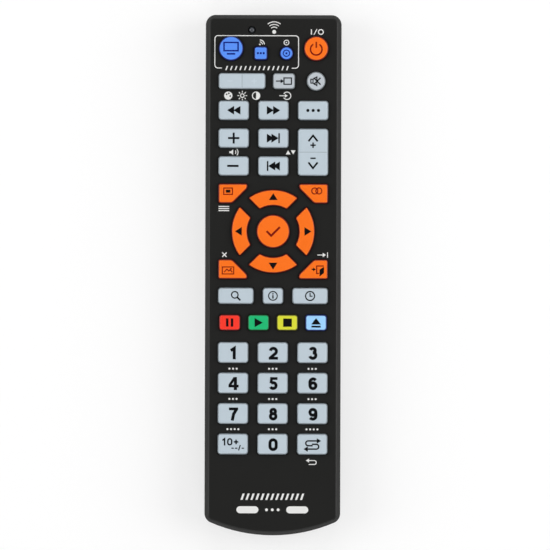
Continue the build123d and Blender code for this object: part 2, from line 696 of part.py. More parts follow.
def case_screws():
    """The two screws that hold the case together, each with a crossed slot in its head."""
    seat = PARTING_Z - SEAT_T
    screws = []
    for x, y in screw_places():
        screw = post(SCREW_HEAD_D, x, y, seat - SCREW_HEAD_H, seat)
        screw += post(SCREW_D, x, y, seat, PARTING_Z + SCREW_BITE)
        low = seat - SCREW_HEAD_H
        for width, length in ((DRIVE_W, DRIVE_L), (DRIVE_L, DRIVE_W)):
            screw -= Pos(x, 0) * block(width / 2, y - length / 2, y + length / 2, low, low + DRIVE_DEPTH)
        screws.append(screw)
    return Compound(screws)


def main():
    os.makedirs("parts", exist_ok=True)
    outer = back_shape()
    pieces = {
        "top_case": top_case(),
        "bottom_case": bottom_case(outer),
        "battery_cover": battery_cover(outer),
        "keypad_mat": keypad_mat(),
        "circuit_board": circuit_board(),
        "control_chip": control_chip(),
        "crystal": crystal(),
        "capacitor": capacitor(),
        "ir_emitter": eye(-EYE_X),
        "learning_sensor": eye(EYE_X),
        "indicator_led": indicator_led(),
        "ir_window": ir_window(),
        "aaa_cells": aaa_cells(),
        "case_screws": case_screws(),
        **contacts(),
        **keys(),
    }
    for name, piece in pieces.items():
        export_step(piece, f"parts/{name}.step")


main()
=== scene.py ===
import math

import bmesh
import bpy
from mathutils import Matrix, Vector


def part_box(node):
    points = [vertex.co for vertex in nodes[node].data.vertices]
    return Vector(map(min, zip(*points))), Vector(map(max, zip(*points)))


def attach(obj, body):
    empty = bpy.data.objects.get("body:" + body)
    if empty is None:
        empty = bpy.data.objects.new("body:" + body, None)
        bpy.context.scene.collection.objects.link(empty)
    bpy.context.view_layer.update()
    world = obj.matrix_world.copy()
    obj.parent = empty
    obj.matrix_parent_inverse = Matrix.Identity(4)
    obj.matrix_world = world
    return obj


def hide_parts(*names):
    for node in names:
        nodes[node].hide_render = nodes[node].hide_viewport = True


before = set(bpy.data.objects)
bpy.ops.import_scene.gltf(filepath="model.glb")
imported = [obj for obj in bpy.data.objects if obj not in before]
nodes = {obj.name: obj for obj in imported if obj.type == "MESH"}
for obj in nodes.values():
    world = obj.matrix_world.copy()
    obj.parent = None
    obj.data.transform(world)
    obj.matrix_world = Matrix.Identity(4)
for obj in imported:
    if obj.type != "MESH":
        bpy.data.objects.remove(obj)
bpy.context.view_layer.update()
scene = bpy.context.scene
MM = 0.001

# Housing: two shells and a sliding cover, moulded in black ABS. The tool's fine
# spark-eroded grain gives a satin surface that shows soft edges of light.


def linear(code):
    """An sRGB colour such as "d0d4d8" as linear RGBA."""
    parts = [int(code[i : i + 2], 16) / 255 for i in (0, 2, 4)]
    return (*[p / 12.92 if p <= 0.04045 else ((p + 0.055) / 1.055) ** 2.4 for p in parts], 1.0)


def link(output, socket):
    output.id_data.links.new(output, socket)


def add(mat, kind, inputs=None, **settings):
    """Adds a shader node. Inputs maps a socket to a value or to an output to link."""
    made = mat.node_tree.nodes.new(kind)
    for name, value in settings.items():
        setattr(made, name, value)
    for name, value in (inputs or {}).items():
        if isinstance(value, bpy.types.NodeSocket):
            link(value, made.inputs[name])
        else:
            made.inputs[name].default_value = value
    return made


def surface(name, colour, roughness, ior=1.5, metallic=0.0, sheen=0.5):
    """A material set all over, with its shader and its object coordinates.

    A sheen below 0.5 dulls its skin.
    """
    mat = bpy.data.materials.new(name)
    mat.use_nodes = True
    shader = mat.node_tree.nodes["Principled BSDF"]
    shader.inputs["Base Color"].default_value = linear(colour)
    shader.inputs["Roughness"].default_value = roughness
    shader.inputs["Metallic"].default_value = metallic
    shader.inputs["IOR"].default_value = ior
    shader.inputs["Specular IOR Level"].default_value = sheen
    return mat, shader, add(mat, "ShaderNodeTexCoord").outputs["Object"]


def ramp(mat, value, start=0.0, end=1.0, low=0.0, high=1.0):
    """Goes from low to high as the value goes from start to end."""
    spans = {"Value": value, "From Min": start, "From Max": end, "To Min": low, "To Max": high}
    return add(mat, "ShaderNodeMapRange", spans).outputs["Result"]


def height_of(mat, place):
    return add(mat, "ShaderNodeSeparateXYZ", {"Vector": place}).outputs["Z"]


def noise(mat, place, size, detail):
    """Soft random patches of that size, in millimetres."""
    settings = {"Vector": place, "Scale": 1 / (size * MM), "Detail": detail}
    return add(mat, "ShaderNodeTexNoise", settings).outputs["Fac"]


def grain(mat, shader, place, size, depth):
    """Bumps of that size and depth, in millimetres."""
    relief = {"Height": noise(mat, place, size, 2.0), "Distance": depth * MM, "Strength": 1.0}
    link(add(mat, "ShaderNodeBump", relief).outputs["Normal"], shader.inputs["Normal"])


def mottle(mat, shader, place, size, low, high):
    """Roughness that drifts between low and high over patches of that size, in millimetres."""
    drift = ramp(mat, noise(mat, place, size, 3.0), low=low, high=high)
    link(drift, shader.inputs["Roughness"])
    return drift


def finish(mat, *names):
    """Gives CAD nodes this material."""
    for name in names:
        nodes[name].data.materials.clear()
        nodes[name].data.materials.append(mat)


FACE_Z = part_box("top_case")[1].z
FACE_EDGE = 0.2
SIDE_ROUGH = 0.7

# Moulded ABS: a deep black, satin on the face and duller on the sides, where the grain is
# coarser. It is drawn at 0.35 mm, since no pixel would hold the real 0.1 mm.
housing, shader, place = surface("moulded ABS, satin black", "1e1e1d", 0.36, ior=1.53, sheen=0.2)
grain(housing, shader, place, size=0.35, depth=0.004)
face_rough = mottle(housing, shader, place, size=18, low=0.33, high=0.39)
low, high = FACE_Z - 2 * FACE_EDGE * MM, FACE_Z - FACE_EDGE * MM
on_face = ramp(housing, height_of(housing, place), low, high)
rough = add(housing, "ShaderNodeMix", {"Factor": on_face, "A": SIDE_ROUGH, "B": face_rough})
link(rough.outputs["Result"], shader.inputs["Roughness"])
finish(housing, "top_case", "bottom_case", "battery_cover")

# Device keys: silicone caps of the keypad, moulded in one piece with it, then coated on
# top in the key's colour and printed. Below the coat, the side takes a darker tone: painted shade.

# In millimetres: the radius of a rim, how far down the coat goes before the painted shade of
# the side begins and how softly it ends, and a hair, by which a sign's parts lap and within which
# two points count as one.
RIM = 0.3
PAINT_EDGE = 0.05
EDGE_BLUR = 0.03
LAP = 0.002
# The ink stands this high above the cap, and goes as deep into it.
INK_T = 0.03
# A cap ends this much under its node's top, which leaves room for the ink.
INK_ROOM = 0.055
KEY_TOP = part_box("zero_key")[1].z
CAP_TOP = KEY_TOP - INK_ROOM * MM
# In degrees: faces that differ by less than the first are one flat, a rim's edges are
# sharper than the second, and edges up to the third are shaded as round.
FLAT_TO = 1
SHARP_FROM = 30
SMOOTH_TO = 50
RIM_STEPS = 3
# A sharp bend's mitre is cut short below this cosine, and a drawn arc turns by this
# many degrees from point to point.
MITRE_LEAST = 0.4
ARC_STEP = 15


def activate(piece):
    """Makes this the active piece, and the only one selected."""
    bpy.ops.object.select_all(action="DESELECT")
    piece.select_set(True)
    bpy.context.view_layer.objects.active = piece


def blend(mat, share, under, over):
    """A colour between two, each given as a code or as an output."""
    under, over = [linear(end) if isinstance(end, str) else end for end in (under, over)]
    inputs = {"Factor": share, 6: under, 7: over}
    return add(mat, "ShaderNodeMix", inputs, data_type="RGBA").outputs[2]


def silicone(name, top, side):
    """Coated silicone rubber, soft and nearly matt; below the coat's edge the side's darker colour
    is painted shade on its walls.
    """
    mat, shader, place = surface(name, top, 0.5, ior=1.41)
    edge, blur = CAP_TOP - PAINT_EDGE * MM, EDGE_BLUR * MM
    # Painted shade: below the coat's edge the walls take the darker side colour.
    coat_above_painted_shade = ramp(mat, height_of(mat, place), edge - blur, edge + blur)
    link(blend(mat, coat_above_painted_shade, side, top), shader.inputs["Base Color"])
    grain(mat, shader, place, size=0.8, depth=0.003)
    mottle(mat, shader, place, size=5, low=0.46, high=0.54)
    return mat


def pick(kind, test):
    """Selects the verts, edges or faces of the active mesh that pass a test, and nothing else."""
    bpy.ops.mesh.select_all(action="DESELECT")
    data = bpy.context.object.data
    for element in getattr(bmesh.from_edit_mesh(data), kind):
        if test(element):
            element.select_set(True)
    bmesh.update_edit_mesh(data)


def on_rim(edge):
    """Whether an edge runs round a cap's top."""
    low, high = sorted(vert.co.z for vert in edge.verts)
    level = low > CAP_TOP - LAP * MM and high - low < LAP * MM
    return level and edge.calc_face_angle(0) > math.radians(SHARP_FROM)


def cap(mat, *names, rim=RIM):
    """Each key's own form with its rim rounded. It takes the CAD node's place."""
    for name in names:
        piece = bpy.data.objects.new(name + "_cap", nodes[name].data.copy())
        scene.collection.objects.link(piece)
        piece.data.materials.clear()
        piece.data.materials.append(mat)
        activate(piece)
        bpy.ops.mesh.customdata_custom_splitnormals_clear()
        bpy.ops.object.mode_set(mode="EDIT")
        bpy.ops.mesh.select_all(action="SELECT")
        bpy.ops.mesh.remove_doubles(threshold=LAP * MM / 2)
        bpy.ops.mesh.dissolve_limited(angle_limit=math.radians(FLAT_TO))
        pick("faces", lambda face: face.calc_center_median().z > KEY_TOP - LAP * MM)
        bpy.ops.mesh.dissolve_faces()
        pick("verts", lambda vert: vert.co.z > KEY_TOP - LAP * MM)
        bpy.ops.transform.translate(value=(0, 0, -INK_ROOM * MM))
        pick("edges", on_rim)
        bpy.ops.mesh.bevel(offset=rim * MM, segments=RIM_STEPS, affect="EDGES")
        bpy.ops.object.mode_set(mode="OBJECT")
        bpy.ops.object.shade_smooth_by_angle(angle=math.radians(SMOOTH_TO))
        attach(piece, name)
        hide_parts(name)


def ink(name, colour):
    """Printing ink, dull and opaque."""
    mat, shader, place = surface(name, colour, 0.4, sheen=0.1)
    mottle(mat, shader, place, size=1.5, low=0.35, high=0.45)
    return mat


def area(*outlines):
    """A flat area between closed outlines, in millimetres, as a thin plate."""
    data = bpy.data.curves.new("sign", "CURVE")
    data.dimensions = "2D"
    data.fill_mode = "BOTH"
    data.extrude = INK_T
    for points in outlines:
        spline = data.splines.new("POLY")
        spline.points.add(len(points) - 1)
        spline.use_cyclic_u = True
        for point, (x, y) in zip(spline.points, points):
            point.co = (x, y, 0, 1)
    piece = bpy.data.objects.new("sign", data)
    scene.collection.objects.link(piece)
    activate(piece)
    bpy.ops.object.convert(target="MESH")
    return bpy.context.object


def beside(points, shift, closed):
    """The points moved sideways by shift, mitred at each bend."""
    moved = []
    for i, point in enumerate(points):
        last = i + 1 == len(points) and not closed
        ahead = point - points[i - 1] if last else points[(i + 1) % len(points)] - point
        behind = point - points[i - 1] if closed or i else ahead
        left, right = ahead.orthogonal().normalized(), behind.orthogonal().normalized()
        mitre = (left + right).normalized()
        moved.append(point + mitre * shift / max(mitre.dot(left), MITRE_LEAST))
    return moved


def stroke(points, width, closed=False):
    """A line of that width through the points."""
    points = [Vector(point) for point in points]
    one, other = beside(points, width / 2, closed), beside(points, -width / 2, closed)
    return area(one, other) if closed else area(one + other[::-1])


def bend(x, y, radius, start=0, end=360):
    """Points on a circle from one angle to another, in degrees. A full turn isn't closed."""
    count = max(3, round(abs(end - start) / ARC_STEP))
    last = count if abs(end - start) == 360 else count + 1
    angles = [math.radians(start + (end - start) * i / count) for i in range(last)]
    return [(x + radius * math.cos(angle), y + radius * math.sin(angle)) for angle in angles]


def disc(x, y, radius):
    return area(bend(x, y, radius))


def loop(x, y, radius, width):
    return stroke(bend(x, y, radius), width, closed=True)


def bar(x, y, width, height, lean=0):
    """A block whose top leans over by that much."""
    w, h = width / 2, height / 2
    lean /= 2
    foot = [(x - w - lean, y - h), (x + w - lean, y - h)]
    head = [(x + w + lean, y + h), (x - w + lean, y + h)]
    return area(foot + head)


def arrow_head(x, y, length, width, turn=0):
    """A triangle that points along +X, turned by turn degrees about its middle."""
    along = Vector((math.cos(math.radians(turn)), math.sin(math.radians(turn))))
    across = along.orthogonal()
    tip, back = Vector((x, y)) + along * length / 2, Vector((x, y)) - along * length / 2
    return area([tip, back + across * width / 2, back - across * width / 2])


def sign(name, body, mat, x, y, z, *parts):
    """Joins drawn parts into one print at a place in metres, each a hair above the last."""
    for i, part in enumerate(parts):
        part.location.z += i * LAP
    activate(parts[0])
    for part in parts:
        part.select_set(True)
    bpy.ops.object.join()
    piece = bpy.context.object
    piece.name = name
    piece.data.name = name
    bpy.ops.object.transform_apply()
    piece.scale = (MM, MM, MM)
    piece.location = (x, y, z)
    bpy.ops.object.transform_apply()
    bpy.ops.object.mode_set(mode="EDIT")
    bpy.ops.mesh.select_all(action="SELECT")
    bpy.ops.mesh.remove_doubles(threshold=LAP * MM / 4)
    bpy.ops.mesh.normals_make_consistent(inside=False)
    bpy.ops.object.mode_set(mode="OBJECT")
    piece.data.materials.clear()
    piece.data.materials.append(mat)
    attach(piece, body)


def print_on(name, mat, *parts, tag="print", off=(0, 0)):
    """Prints parts on a key, drawn from a point that lies off the middle of its top."""
    middle = (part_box(name)[0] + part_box(name)[1]) / 2
    x, y = middle.x + off[0] * MM, middle.y + off[1] * MM
    sign(f"{name}_{tag}", name, mat, x, y, CAP_TOP, *parts)


# Coated silicone: broad, dull lights on the top, and a thin darker rim round it, which is painted
# shade on the key walls. Its faint unevenness is drawn at 0.8 mm. The ink is smoother, and shows as
# a flat, darker skin.
blue = silicone("silicone rubber, blue", "558ef4", "0a1260")
orange = silicone("silicone rubber, orange", "f86f00", "6e1004")
blue_ink = ink("printing ink, dark blue", "16247c")
red_ink = ink("printing ink, dark red", "7c120c")
cap(blue, "tv_key", "satellite_key", "disc_key")
cap(orange, "power_key")
screen_sign = [(-2.9, -1), (2.9, -1), (2.9, 2.4), (-2.9, 2.4)]
print_on("tv_key", blue_ink, stroke(screen_sign, 0.6, True), bar(0, -2.3, 3.4, 0.65))
print_on("satellite_key", blue_ink, *[disc(x, 0, 0.45) for x in (-1.2, 0, 1.2)])
print_on("disc_key", blue_ink, loop(0, 0, 1.3, 0.42), disc(0, 0, 0.42))
print_on("power_key", red_ink, stroke(bend(0, -0.3, 2.4, 122, 418), 0.6), bar(0, 1.5, 0.6, 2.5))

# Source row: the long picture rocker with a fine groove over its hinge, and two light
# grey caps with a source sign and a mute sign in near-black ink.
GROOVE = 0.25
GROOVE_DEPTH = 0.08
FLANGE_EASE = 0.15

# A cool white and a light grey rubber, each with a greyer side colour that is painted shade,
# and inks that are nearly as dark as the housing or hardly paler than the key.
white = silicone("silicone rubber, cool white", "bbc8d1", "8b959c")
grey = silicone("silicone rubber, light grey", "bbc2c8", "7c8286")
black_ink = ink("printing ink, near-black", "0b0c0f")
pale_ink = ink("printing ink, pale", "c4d0d9")


def rock(name, way):
    """Cuts a fine V-groove over a rocker's hinge and eases its hidden flange at both ends."""
    low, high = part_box(name)
    middle = (low + high) / 2
    reach = (high - low).dot(way) / 2
    activate(scene.objects[name + "_cap"])
    bpy.ops.object.mode_set(mode="EDIT")
    for shift in (-GROOVE, 0, GROOVE):
        bpy.ops.mesh.select_all(action="SELECT")
        bpy.ops.mesh.bisect(plane_co=middle + way * shift * MM, plane_no=way)

    def in_groove(vert):
        return abs((vert.co - middle).dot(way)) < LAP * MM and vert.co.z > CAP_TOP - LAP * MM

    pick("verts", in_groove)
    bpy.ops.transform.translate(value=(0, 0, -GROOVE_DEPTH * MM))
    for end in (-1, 1):
        pick("verts", lambda vert: (vert.co - middle).dot(way) * end > reach - LAP * MM)
        bpy.ops.transform.translate(value=way * -end * FLANGE_EASE * MM)
    bpy.ops.object.mode_set(mode="OBJECT")


cap(white, "picture_rocker")
cap(grey, "source_key", "mute_key")
rock("picture_rocker", Vector((1, 0, 0)))
print_on(
    "picture_rocker", pale_ink,
    bar(-5, 0, 2.2, 0.5), bar(5, 0, 2.2, 0.5), bar(5, 0, 0.5, 2.2),
)
print_on(
    "source_key", black_ink,
    stroke([(0, -1.3), (3.1, -1.3), (3.1, 1.3), (0, 1.3)], 0.48, True),
    bar(-2.3, 0, 2, 0.48), arrow_head(-0.7, 0, 1.4, 1.8),
)
print_on(
    "mute_key", black_ink,
    stroke([(-2.2, -0.8), (-1.3, -0.8), (-1.3, 0.8), (-2.2, 0.8)], 0.42, True),
    stroke([(-1.3, -0.8), (0.3, -1.8), (0.3, 1.8), (-1.3, 0.8)], 0.42),
    stroke([(-1, -1.4), (1.8, 1.4)], 0.55), stroke([(-1, 1.4), (1.8, -1.4)], 0.55),
)

# Playback, mode and volume keys, and the tall channel rocker: white caps whose
# signs are bold, pad-printed in near-black ink.
WIND = (2.9, 3.6)
SKIP = (2.9, 3.7)
cap(white, "rewind_key", "forward_key", "mode_key", "volume_up_key", "volume_down_key")
cap(white, "next_key", "previous_key", "channel_rocker")
rock("channel_rocker", Vector((0, 1, 0)))
print_on("rewind_key", black_ink, *[arrow_head(x, 0, *WIND, 180) for x in (-1.3, 1.3)])
print_on("forward_key", black_ink, *[arrow_head(x, 0, *WIND) for x in (-1.3, 1.3)])
print_on("mode_key", black_ink, *[disc(x, 0, 0.65) for x in (-2.2, 0, 2.2)])
print_on("volume_up_key", black_ink, bar(0, 0, 4.7, 0.85), bar(0, 0, 0.85, 4.5))
print_on("volume_down_key", black_ink, bar(0, 0, 4.7, 0.85), off=(-0.3, 0))
for name, way, turn in (("next_key", 1, 0), ("previous_key", -1, 180)):
    arrows = [arrow_head(x * way, 0, *SKIP, turn) for x in (-1.25, 0.65)]
    print_on(name, black_ink, *arrows, bar(2.35 * way, 0, 0.6, 4.1))
print_on(
    "channel_rocker", black_ink,
    stroke([(-1.9, 4.5), (0, 6.9), (1.9, 4.5)], 0.75),
    bar(0, 2.9, 2.2, 0.6), bar(0, 2.9, 0.6, 2.2), bar(0, -2.5, 2.2, 0.6),
    stroke([(-1.9, -4.2), (0, -6.6), (1.9, -4.2)], 0.75),
)

# Corner keys round the ring: orange caps, each with one corner cut on a slant. Small
# line signs in dark red are printed on them, two with a part in near-black.
cap(orange, "menu_key", "audio_key", "image_key", "exit_key")
card_sign = [(-3.8, -0.4), (-0.2, -0.4), (-0.2, 2.2), (-3.8, 2.2)]
print_on("menu_key", red_ink, stroke(card_sign, 0.45, True))
print_on("menu_key", black_ink, bar(-2, 0.9, 1.9, 1.2), tag="block")
print_on("audio_key", red_ink, loop(0.5, 1.1, 1.25, 0.45), loop(2.2, 1.1, 1.25, 0.45))
print_on(
    "image_key", red_ink,
    stroke([(-4.3, -2), (0.4, -2), (0.4, 0.9), (-4.3, 0.9)], 0.42, True),
    stroke([(-3.6, -1.3), (-2.4, 0), (-1.6, -0.8), (-1, -0.2), (-0.2, -1.3)], 0.4),
    disc(-0.7, 0.2, 0.32),
)
print_on("exit_key", red_ink, stroke([(2.4, -1.7), (1.4, -1.7), (1.4, 1.4), (4.3, 1.4)], 0.45))
print_on(
    "exit_key", black_ink,
    area([(2.6, -2.9), (4.4, -1.5), (4.4, 1.1), (2.6, -0.1)]),
    bar(-0.2, 0, 1, 0.45), arrow_head(0.5, 0, 1.1, 1.5),
    tag="leaf",
)

# Direction ring and centre key: orange caps, four quarters with black arrows round
# a round key with a tick.
RING = (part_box("centre_key")[0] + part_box("centre_key")[1]) / 2
ARROW_OUT = 14.35
TIP_RIM = 0.18
cap(orange, "up_key", "left_key", "down_key", "right_key", rim=TIP_RIM)
cap(orange, "centre_key")
for name, turn in (("right_key", 0), ("up_key", 90), ("left_key", 180), ("down_key", 270)):
    way = Vector((math.cos(math.radians(turn)), math.sin(math.radians(turn)))) * ARROW_OUT
    arrow = arrow_head(way.x, way.y, 2.8, 3.6, turn)
    sign(name + "_print", name, black_ink, RING.x, RING.y, CAP_TOP, arrow)
print_on("centre_key", red_ink, stroke([(-2.7, 0.1), (-0.8, -1.8), (2.8, 1.8)], 0.85))

# Wide keys: white silicone caps with a magnifier, a sign for information and a clock,
# each pad-printed in near-black ink.
cap(white, "zoom_key", "info_key", "timer_key")
print_on("zoom_key", black_ink, loop(-0.4, 0.4, 1.35, 0.5), stroke([(0.6, -0.6), (1.9, -1.9)], 0.7))
print_on("info_key", black_ink, loop(0, 0, 1.8, 0.45), disc(0, 0.85, 0.32), bar(0, -0.4, 0.55, 1.4))
print_on(
    "timer_key", black_ink,
    loop(0, 0, 1.85, 0.5), stroke([(0, 1.3), (0, -0.1), (1, -0.1)], 0.45),
)

# Colour keys: four small caps in red, green, yellow and light blue, with the plain
# signs for pause, play, stop and eject.

# Clear, strong colours in the same dull coat, each with a dark side colour that is painted shade on
# its walls.
red = silicone("silicone rubber, red", "f6321f", "5a0606")
green = silicone("silicone rubber, green", "0bb56f", "06401c")
yellow = silicone("silicone rubber, yellow", "d6d830", "4c4a06")
sky = silicone("silicone rubber, light blue", "9bd0fa", "1c2c70")
cap(red, "red_key")
cap(green, "green_key")
cap(yellow, "yellow_key")
cap(sky, "blue_key")
print_on("red_key", black_ink, bar(-1, 0, 1, 3.4), bar(1, 0, 1, 3.4))
print_on("green_key", black_ink, arrow_head(0.1, 0, 3.4, 3.8))
print_on("yellow_key", black_ink, bar(0.1, 0, 3.6, 3.4))
print_on("blue_key", black_ink, arrow_head(0, 0.6, 2.6, 4, 90), bar(0, -1.6, 3.8, 0.75))

# Number keys: white caps with bold digits, then a thin 10+ and a two-way arrow. The
# digits are drawn with a broad, even stroke.
BOLD = 1.27
THIN = 0.6
# The digits sit this far right of and below the middle of their keys.
DIGIT_OFF = (0.25, -0.2)
four = [
    (1.4, 2.7), (0, 2.7), (-2.1, -0.5), (-2.1, -1.6), (0.1, -1.6), (0.1, -2.7),
    (1.4, -2.7), (1.4, -1.6), (2.1, -1.6), (2.1, -0.5), (1.4, -0.5),
]
figures = {
    "one": [stroke([(-1.2, 1), (0.25, 1.95), (0.25, -2.6)], BOLD)],
    "two": [
        stroke([*bend(0, 0.75, 1.25, 170, -35), (-1.1, -1.85)], BOLD),
        bar(0, -2.1, 3.8, 1.15),
    ],
    "three": [
        stroke(bend(-0.1, 1.05, 1, 165, -90), BOLD),
        stroke(bend(-0.1, -0.85, 1.25, 90, -165), BOLD),
    ],
    "four": [area(four, [(0.1, 0.9), (0.1, -0.5), (-0.8, -0.5)])],
    "five": [
        bar(0.25, 2.12, 3, 1.15), area([(-1.25, 2.7), (-0.1, 2.7), (-0.3, 0.4), (-1.55, 0.1)]),
        stroke(bend(-0.05, -0.8, 1.2, 135, -155), BOLD),
    ],
    "six": [
        stroke([(-1.25, -0.8), *bend(0.05, 0.7, 1.3, 180, 35)], BOLD),
        loop(0, -0.8, 1.2, BOLD),
    ],
    "seven": [bar(0, 2.12, 3.8, 1.15), stroke([(1.2, 1.9), (0.05, 0), (-0.5, -2.7)], BOLD)],
    "eight": [loop(0, 1.1, 0.92, BOLD), loop(0, -0.88, 1.12, BOLD)],
    "nine": [
        stroke([(1.25, 0.8), *bend(-0.05, -0.7, 1.3, 0, -145)], BOLD),
        loop(0, 0.8, 1.2, BOLD),
    ],
    "zero": [stroke(bend(0, 0.72, 1.28, 0, 180) + bend(0, -0.72, 1.28, 180, 360), BOLD, True)],
}
cap(white, *[name + "_key" for name in figures], "tens_key", "return_key")
for name, parts in figures.items():
    print_on(name + "_key", black_ink, *parts, off=DIGIT_OFF)
print_on(
    "tens_key", black_ink,
    stroke([(-4.3, 1.5), (-3.4, 2.2), (-3.4, -0.6)], THIN),
    stroke(bend(-1.25, 1.35, 0.8, 0, 180) + bend(-1.25, 0.5, 0.8, 180, 360), THIN, True),
    bar(1.35, 0.9, 1.9, THIN), bar(1.35, 0.9, THIN, 1.9),
    *[bar(x, -1.7, 0.95, 0.45) for x in (-0.1, 1.4, 4.15)], bar(2.75, -1.5, 0.45, 2.3, 0.7),
)
print_on(
    "return_key", black_ink,
    stroke([(2.2, 1.4), *bend(-1.65, 0.4, 1, 90, 270), (0.2, -0.6)], THIN),
    stroke([(-0.1, 0), *bend(1.7, -1, 1, 90, -90), (-2.2, -2)], THIN),
    arrow_head(2.8, 1.4, 1.8, 2.2), arrow_head(-2.7, -2, 1.8, 2.2, 180),
)

# Marks on the face: white pad-printed signs, each a thin skin of ink. They are plain
# pictograms, dots and bars in the places that such a remote prints on.
MARK_LINE = 0.36
LABEL_PITCH = 1.5
LABEL_DOT = 0.42
SLANT_PITCH = 1.93
TAIL_PITCH = 2.05
# The frame round the device keys, and the radius of its corners.
LEFT, RIGHT, TOP, FOOT, ROUND = -24.3, 10.3, 99.0, 85.6, 1.3
# How far up the face some rows of signs stand.
PICTURE_ROW = 74.2
VOLUME_ROW = 50.8
TAIL_ROW = -97

# White ink: a thin, even skin, a little smoother than the face round it.
white_ink = ink("printing ink, white", "e4e4e2")


def mark(name, *parts):
    """Prints parts on the face, drawn from the middle of the case."""
    sign(name, "case", white_ink, 0, 0, FACE_Z, *parts)


def capsule(x, y, width, height):
    """A bar with round ends."""
    r = height / 2
    run = width / 2 - r
    return area(bend(x - run, y, r, 90, 270) + bend(x + run, y, r, -90, 90))


# Round the device keys: a frame that is open at its foot, with slanted bars in the gap.
outline = [(-21.3, FOOT)]
outline += bend(LEFT + ROUND, FOOT + ROUND, ROUND, 270, 180)
outline += bend(LEFT + ROUND, TOP - ROUND, ROUND, 180, 90)
outline += bend(RIGHT - ROUND, TOP - ROUND, ROUND, 90, 0)
outline += bend(RIGHT - ROUND, FOOT + ROUND, ROUND, 0, -90)
outline += [(7.5, FOOT)]
slants = [bar(-19.4 + SLANT_PITCH * i, FOOT, 0.55, 1.7, 0.6) for i in range(14)]
mark("device_frame_mark", stroke(outline, MARK_LINE), *slants)

# Under the nose: waves over a dot, and the signs for on and off. In the frame: a receiver
# and a disc.
waves = [stroke(bend(0.2, 100.7, r, 50, 130), MARK_LINE) for r in (1.9, 3, 4.1)]
mark("signal_mark", disc(0.2, 100.6, 0.8), *waves)
slash = stroke([(16.6, 99.4), (17.9, 101.8)], MARK_LINE)
mark("power_mark", bar(15.6, 100.6, 0.45, 2.2), slash, loop(19.5, 100.6, 1, 0.4))
waves = [stroke(bend(-5.7, 95.4, r, 0, 90), MARK_LINE) for r in (1.05, 1.85)]
mark("receiver_mark", disc(-5.7, 95.4, 0.34), *waves)
mark("disc_mark", loop(5.3, 96.2, 1, MARK_LINE), disc(5.3, 96.2, 0.3))

# Under the source row: colour, brightness, contrast and input.
holes = [bend(x, y, 0.35) for x, y in ((-19.4, 74.7), (-18.5, 75.1), (-17.9, 74))]
mark("colour_mark", area(bend(-18.7, PICTURE_ROW, 1.7), *holes))
rays = []
for turn in range(0, 360, 45):
    ends = [bend(-12.9, PICTURE_ROW, r, turn, turn + 1)[0] for r in (1.3, 2)]
    rays.append(stroke(ends, MARK_LINE))
mark("brightness_mark", loop(-12.9, PICTURE_ROW, 0.75, MARK_LINE), *rays)
mark(
    "contrast_mark", loop(-7.2, PICTURE_ROW, 1.55, MARK_LINE),
    area(bend(-7.2, PICTURE_ROW, 1.4, -90, 90)),
)
mark(
    "input_mark", stroke(bend(5.6, PICTURE_ROW, 1.55, -150, 150), MARK_LINE),
    bar(3.6, PICTURE_ROW, 2.4, MARK_LINE), arrow_head(5.3, PICTURE_ROW, 1.2, 1.5),
)

# Between the volume and channel keys: a loudspeaker and two arrow heads.
speaker = [(-18.2, 50.4), (-17.5, 50.4), (-16.6, 49.6), (-16.6, 52), (-17.5, 51.2), (-18.2, 51.2)]
mark(
    "volume_mark", area(speaker),
    *[stroke(bend(-16.6, VOLUME_ROW, r, -40, 40), MARK_LINE) for r in (1.1, 2)],
)
mark(
    "channel_mark", arrow_head(6.1, VOLUME_ROW, 1.7, 2, 90),
    arrow_head(8.2, VOLUME_ROW, 1.7, 2, 270),
)

# Beside the corner keys: a list, a cross, and an arrow that ends at a bar.
mark("menu_mark", *[bar(-20.4, 27.5 + step, 4.4, 0.42) for step in (0.85, 0, -0.85)])
cross = [[(-21, 7.5), (-19.2, 9.3)], [(-21, 9.3), (-19.2, 7.5)]]
mark("cancel_mark", *[stroke(line, 0.42) for line in cross])
mark(
    "exit_mark", bar(19.6, 8.4, 2.6, MARK_LINE), arrow_head(21.2, 8.4, 1.3, 1.8),
    bar(22.5, 8.4, MARK_LINE, 2.2),
)

# Under the digits: short rows of dots. Under the two-way arrow: one that turns back.
for column, x in enumerate((-16.4, 0, 16.3)):
    for row, y in enumerate((-38.7, -51.2, -63.7)):
        count = 4 if row == 2 and column != 1 else 3
        steps = [(i - (count - 1) / 2) * LABEL_PITCH for i in range(count)]
        mark(f"digit_dots_{row}_{column}", *[disc(x + step, y, LABEL_DOT) for step in steps])
turn_back = [(15, -76.6), (17.3, -76.6), *bend(17.3, -77.4, 0.8, 75, -90), (15, -78.2)]
mark("return_mark", stroke(turn_back, MARK_LINE), arrow_head(14.5, -76.6, 1.3, 1.7, 180))

# At the tail: slanted bars, and two capsules with three dots between them.
mark("tail_bars_mark", *[bar(TAIL_PITCH * i, -91.6, 0.85, 2.6, 0.9) for i in range(-6, 7)])
dots = [disc(2.4 * i, TAIL_ROW, 0.6) for i in (-1, 0, 1)]
mark("tail_capsules_mark", *[capsule(x, TAIL_ROW, 9.1, 2.9) for x in (-10.3, 10.3)], *dots)

# Window and lamp: a dark red acrylic pane snapped into the nose, and a diffused
# epoxy lamp that ends just inside its hole in the face. The pane is smooth and shows
# clear reflections, and the lamp's round end catches one small light.
DOME = 0.9
DOME_STEPS = 6
pane, shader, place = surface("acrylic window, very dark red", "150508", 0.08, ior=1.49)
mottle(pane, shader, place, size=8, low=0.06, high=0.12)
finish(pane, "ir_window")
milky, shader, place = surface("diffused epoxy, smoky grey", "42454a", 0.25, ior=1.55)
mottle(milky, shader, place, size=1, low=0.2, high=0.3)
low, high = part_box("indicator_led")
middle = (low + high) / 2
radius = (high.x - low.x) / 2
bpy.ops.object.select_all(action="DESELECT")
bpy.ops.mesh.primitive_cylinder_add(radius=radius, depth=high.z - low.z, location=middle)
lamp = bpy.context.object
lamp.name = lamp.data.name = "indicator_lamp"
bpy.ops.object.transform_apply()
bpy.ops.object.mode_set(mode="EDIT")
